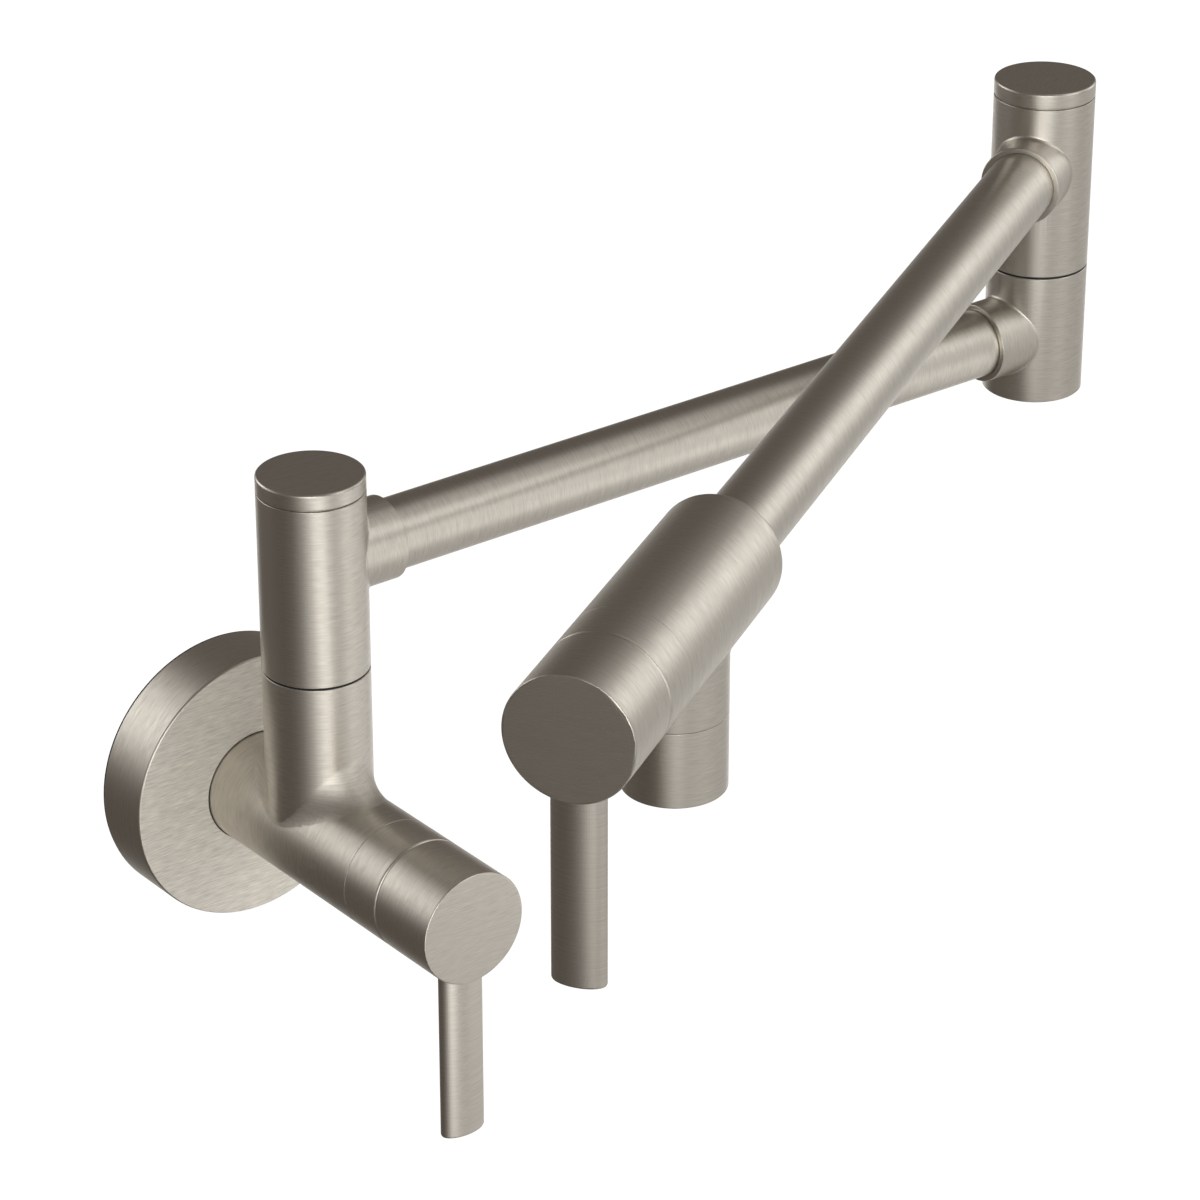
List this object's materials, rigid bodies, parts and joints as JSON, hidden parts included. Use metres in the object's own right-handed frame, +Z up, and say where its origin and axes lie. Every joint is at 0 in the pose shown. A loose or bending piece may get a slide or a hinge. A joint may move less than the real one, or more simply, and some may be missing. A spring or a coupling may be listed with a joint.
{
  "type": "pot filler",
  "caption": "Wall-mounted kitchen pot filler with a folding double-jointed arm, a lever valve at the wall and another at the spout, in brushed nickel.",
  "frame": {"origin": "centre of the wall bracket's screw circle, on the wall plane and on the axis of the valve barrel", "axes": "+X along the wall towards the elbow with the inner arm parked, +Y into the wall, +Z up"},
  "size_m": [0.3473, 0.2586, 0.2207],
  "materials": {
    "brushed_nickel": "satin brushed nickel plate on brass, brushed round each turned part",
    "brass": "machined",
    "stainless_steel": "plain stainless steel",
    "ceramic": "lapped alumina",
    "black_rubber": "moulded rubber",
    "white_acetal": "moulded acetal"
  },
  "bodies": {
    "wall_body": {"wall_bracket": "stainless_steel", "bracket_grub_screw": "stainless_steel", "wall_flange": "brushed_nickel", "flange_gasket": "black_rubber", "flange_o_ring": "black_rubber", "base_valve_body": "brushed_nickel", "base_seat_seal": "black_rubber", "base_fixed_disc": "ceramic", "base_core_housing": "brass", "base_core_o_ring": "black_rubber", "base_core_nut": "brass", "base_trim_ring": "brushed_nickel", "base_post": "brass", "base_post_o_rings": "black_rubber", "base_bearing_ring": "white_acetal", "base_swivel_washer": "black_rubber", "base_thrust_washer": "white_acetal", "base_post_nut": "brass"},
    "base_handle": {"base_hub": "brushed_nickel", "base_lever": "brushed_nickel", "base_stem": "brass", "base_stem_o_ring": "black_rubber", "base_moving_disc": "ceramic", "base_hub_screw": "stainless_steel"},
    "inner_arm": {"inner_head": "brushed_nickel", "inner_cap": "brushed_nickel", "inner_cap_o_ring": "black_rubber", "inner_tube": "brushed_nickel", "elbow_base": "brushed_nickel", "elbow_post": "brass", "elbow_post_o_rings": "black_rubber", "elbow_bearing_ring": "white_acetal", "elbow_swivel_washer": "black_rubber", "elbow_thrust_washer": "white_acetal", "elbow_post_nut": "brass"},
    "outer_arm": {"outer_head": "brushed_nickel", "outer_cap": "brushed_nickel", "outer_cap_o_ring": "black_rubber", "outer_tube": "brushed_nickel", "spout_body": "brushed_nickel", "outlet_collar": "brushed_nickel", "aerator_insert": "white_acetal", "aerator_washer": "black_rubber", "spout_seat_seal": "black_rubber", "spout_fixed_disc": "ceramic", "spout_core_housing": "brass", "spout_core_o_ring": "black_rubber", "spout_core_nut": "brass", "spout_trim_ring": "brushed_nickel"},
    "spout_handle": {"spout_hub": "brushed_nickel", "spout_lever": "brushed_nickel", "spout_stem": "brass", "spout_stem_o_ring": "black_rubber", "spout_moving_disc": "ceramic", "spout_hub_screw": "stainless_steel"}
  },
  "joints": [
    {"name": "base_handle_turn", "type": "hinge", "parent": "wall_body", "child": "base_handle", "pos_m": [0, -0.0485, 0], "axis": [0, -1, 0], "range_deg": [0, 90]},
    {"name": "base_swivel", "type": "hinge", "parent": "wall_body", "child": "inner_arm", "pos_m": [0, -0.0485, 0.0489], "axis": [0, 0, 1], "range_deg": [-180, 0]},
    {"name": "elbow_swivel", "type": "hinge", "parent": "inner_arm", "child": "outer_arm", "pos_m": [0.257, -0.0485, 0.1001], "axis": [0, 0, 1], "continuous": true},
    {"name": "spout_handle_turn", "type": "hinge", "parent": "outer_arm", "child": "spout_handle", "pos_m": [-0.00902, -0.20961, 0.1311], "axis": [-0.8554, -0.518, 0], "range_deg": [0, 90]}
  ]
}
